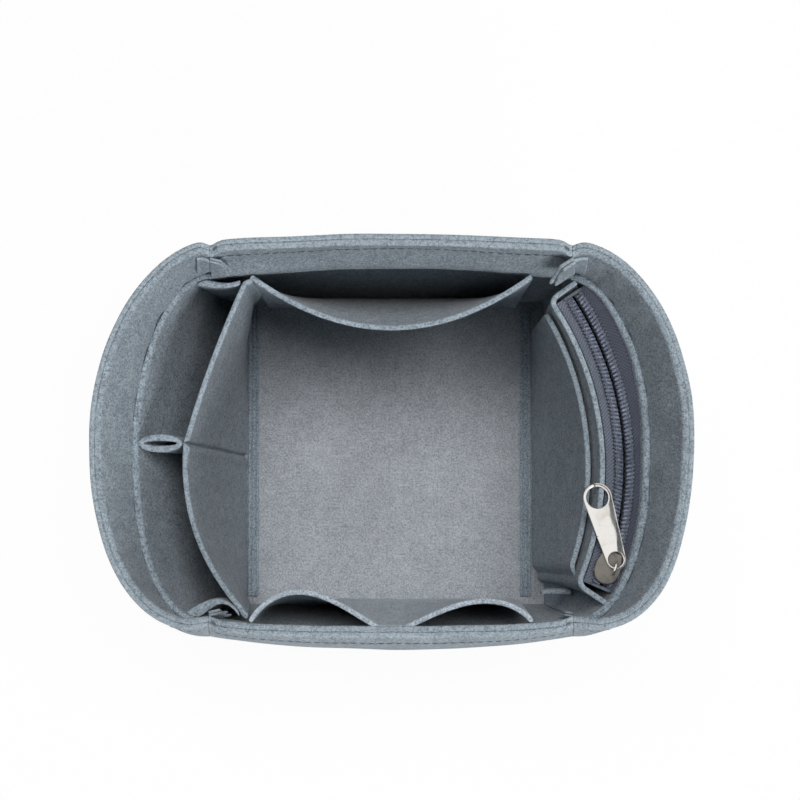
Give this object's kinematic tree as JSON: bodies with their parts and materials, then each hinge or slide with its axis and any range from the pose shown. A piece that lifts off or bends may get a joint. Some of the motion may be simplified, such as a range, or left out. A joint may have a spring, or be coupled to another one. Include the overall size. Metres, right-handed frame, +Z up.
{
  "type": "purse organizer insert",
  "caption": "Open felt tub for the inside of a handbag, with flared ends, slack pockets on its long walls, a divided pocket at one end and a curved zipped pocket at the other.",
  "frame": {"origin": "middle of the underside", "axes": "+X along the length to the zipped end, +Y to the back wall with the single wide pocket, +Z up"},
  "size_m": [0.187, 0.129, 0.13],
  "materials": {
    "shell_felt": "matte needled felt",
    "pocket_felt": "matte needled felt",
    "floor_felt": "matte needled felt",
    "board": "matte",
    "zip_tape": "woven",
    "zip_coil": "satin",
    "thread": "satin",
    "nickel": "polished nickel plate"
  },
  "bodies": {
    "insert": {"base_felt": "shell_felt", "right_end_wall": "shell_felt", "right_end_collar": "shell_felt", "back_wall": "shell_felt", "back_collar": "shell_felt", "left_end_wall": "shell_felt", "left_end_collar": "shell_felt", "front_wall": "shell_felt", "front_collar": "shell_felt", "front_right_corner_tab": "shell_felt", "back_right_corner_tab": "shell_felt", "back_left_corner_tab": "shell_felt", "front_left_corner_tab": "shell_felt", "left_floor_strip": "shell_felt", "right_floor_strip": "shell_felt", "right_end_lining": "pocket_felt", "back_lining": "pocket_felt", "left_end_lining": "pocket_felt", "front_lining": "pocket_felt", "left_pocket_panel": "pocket_felt", "left_pocket_rear_gusset": "pocket_felt", "left_pocket_front_gusset": "pocket_felt", "left_pocket_divider": "pocket_felt", "back_pocket_panel": "pocket_felt", "front_pocket_panel": "pocket_felt", "zip_pocket_panel": "pocket_felt", "zip_pocket_front_gusset": "pocket_felt", "zip_pocket_rear_gusset": "pocket_felt", "slip_pocket_panel": "pocket_felt", "floor_felt": "floor_felt", "base_board": "board", "zip_tape_room_side": "zip_tape", "zip_tape_wall_side": "zip_tape", "zip_coil_room_side": "zip_coil", "zip_coil_wall_side": "zip_coil", "zip_front_tack": "thread", "zip_rear_tack": "thread"},
    "slider": {"zip_slider": "nickel", "zip_bail": "nickel"},
    "pull": {"zip_pull_tab": "nickel"}
  },
  "joints": [
    {"name": "zip_slide", "type": "hinge", "parent": "insert", "child": "slider", "pos_m": [-0.02488, -0.00704, 0.105], "axis": [0, 0, 1], "range_deg": [0, 38]},
    {"name": "pull_flip", "type": "hinge", "parent": "slider", "child": "pull", "pos_m": [0.07034, -0.03941, 0.10848], "axis": [0.9602, 0.2794, 0], "range_deg": [0, 100]}
  ]
}
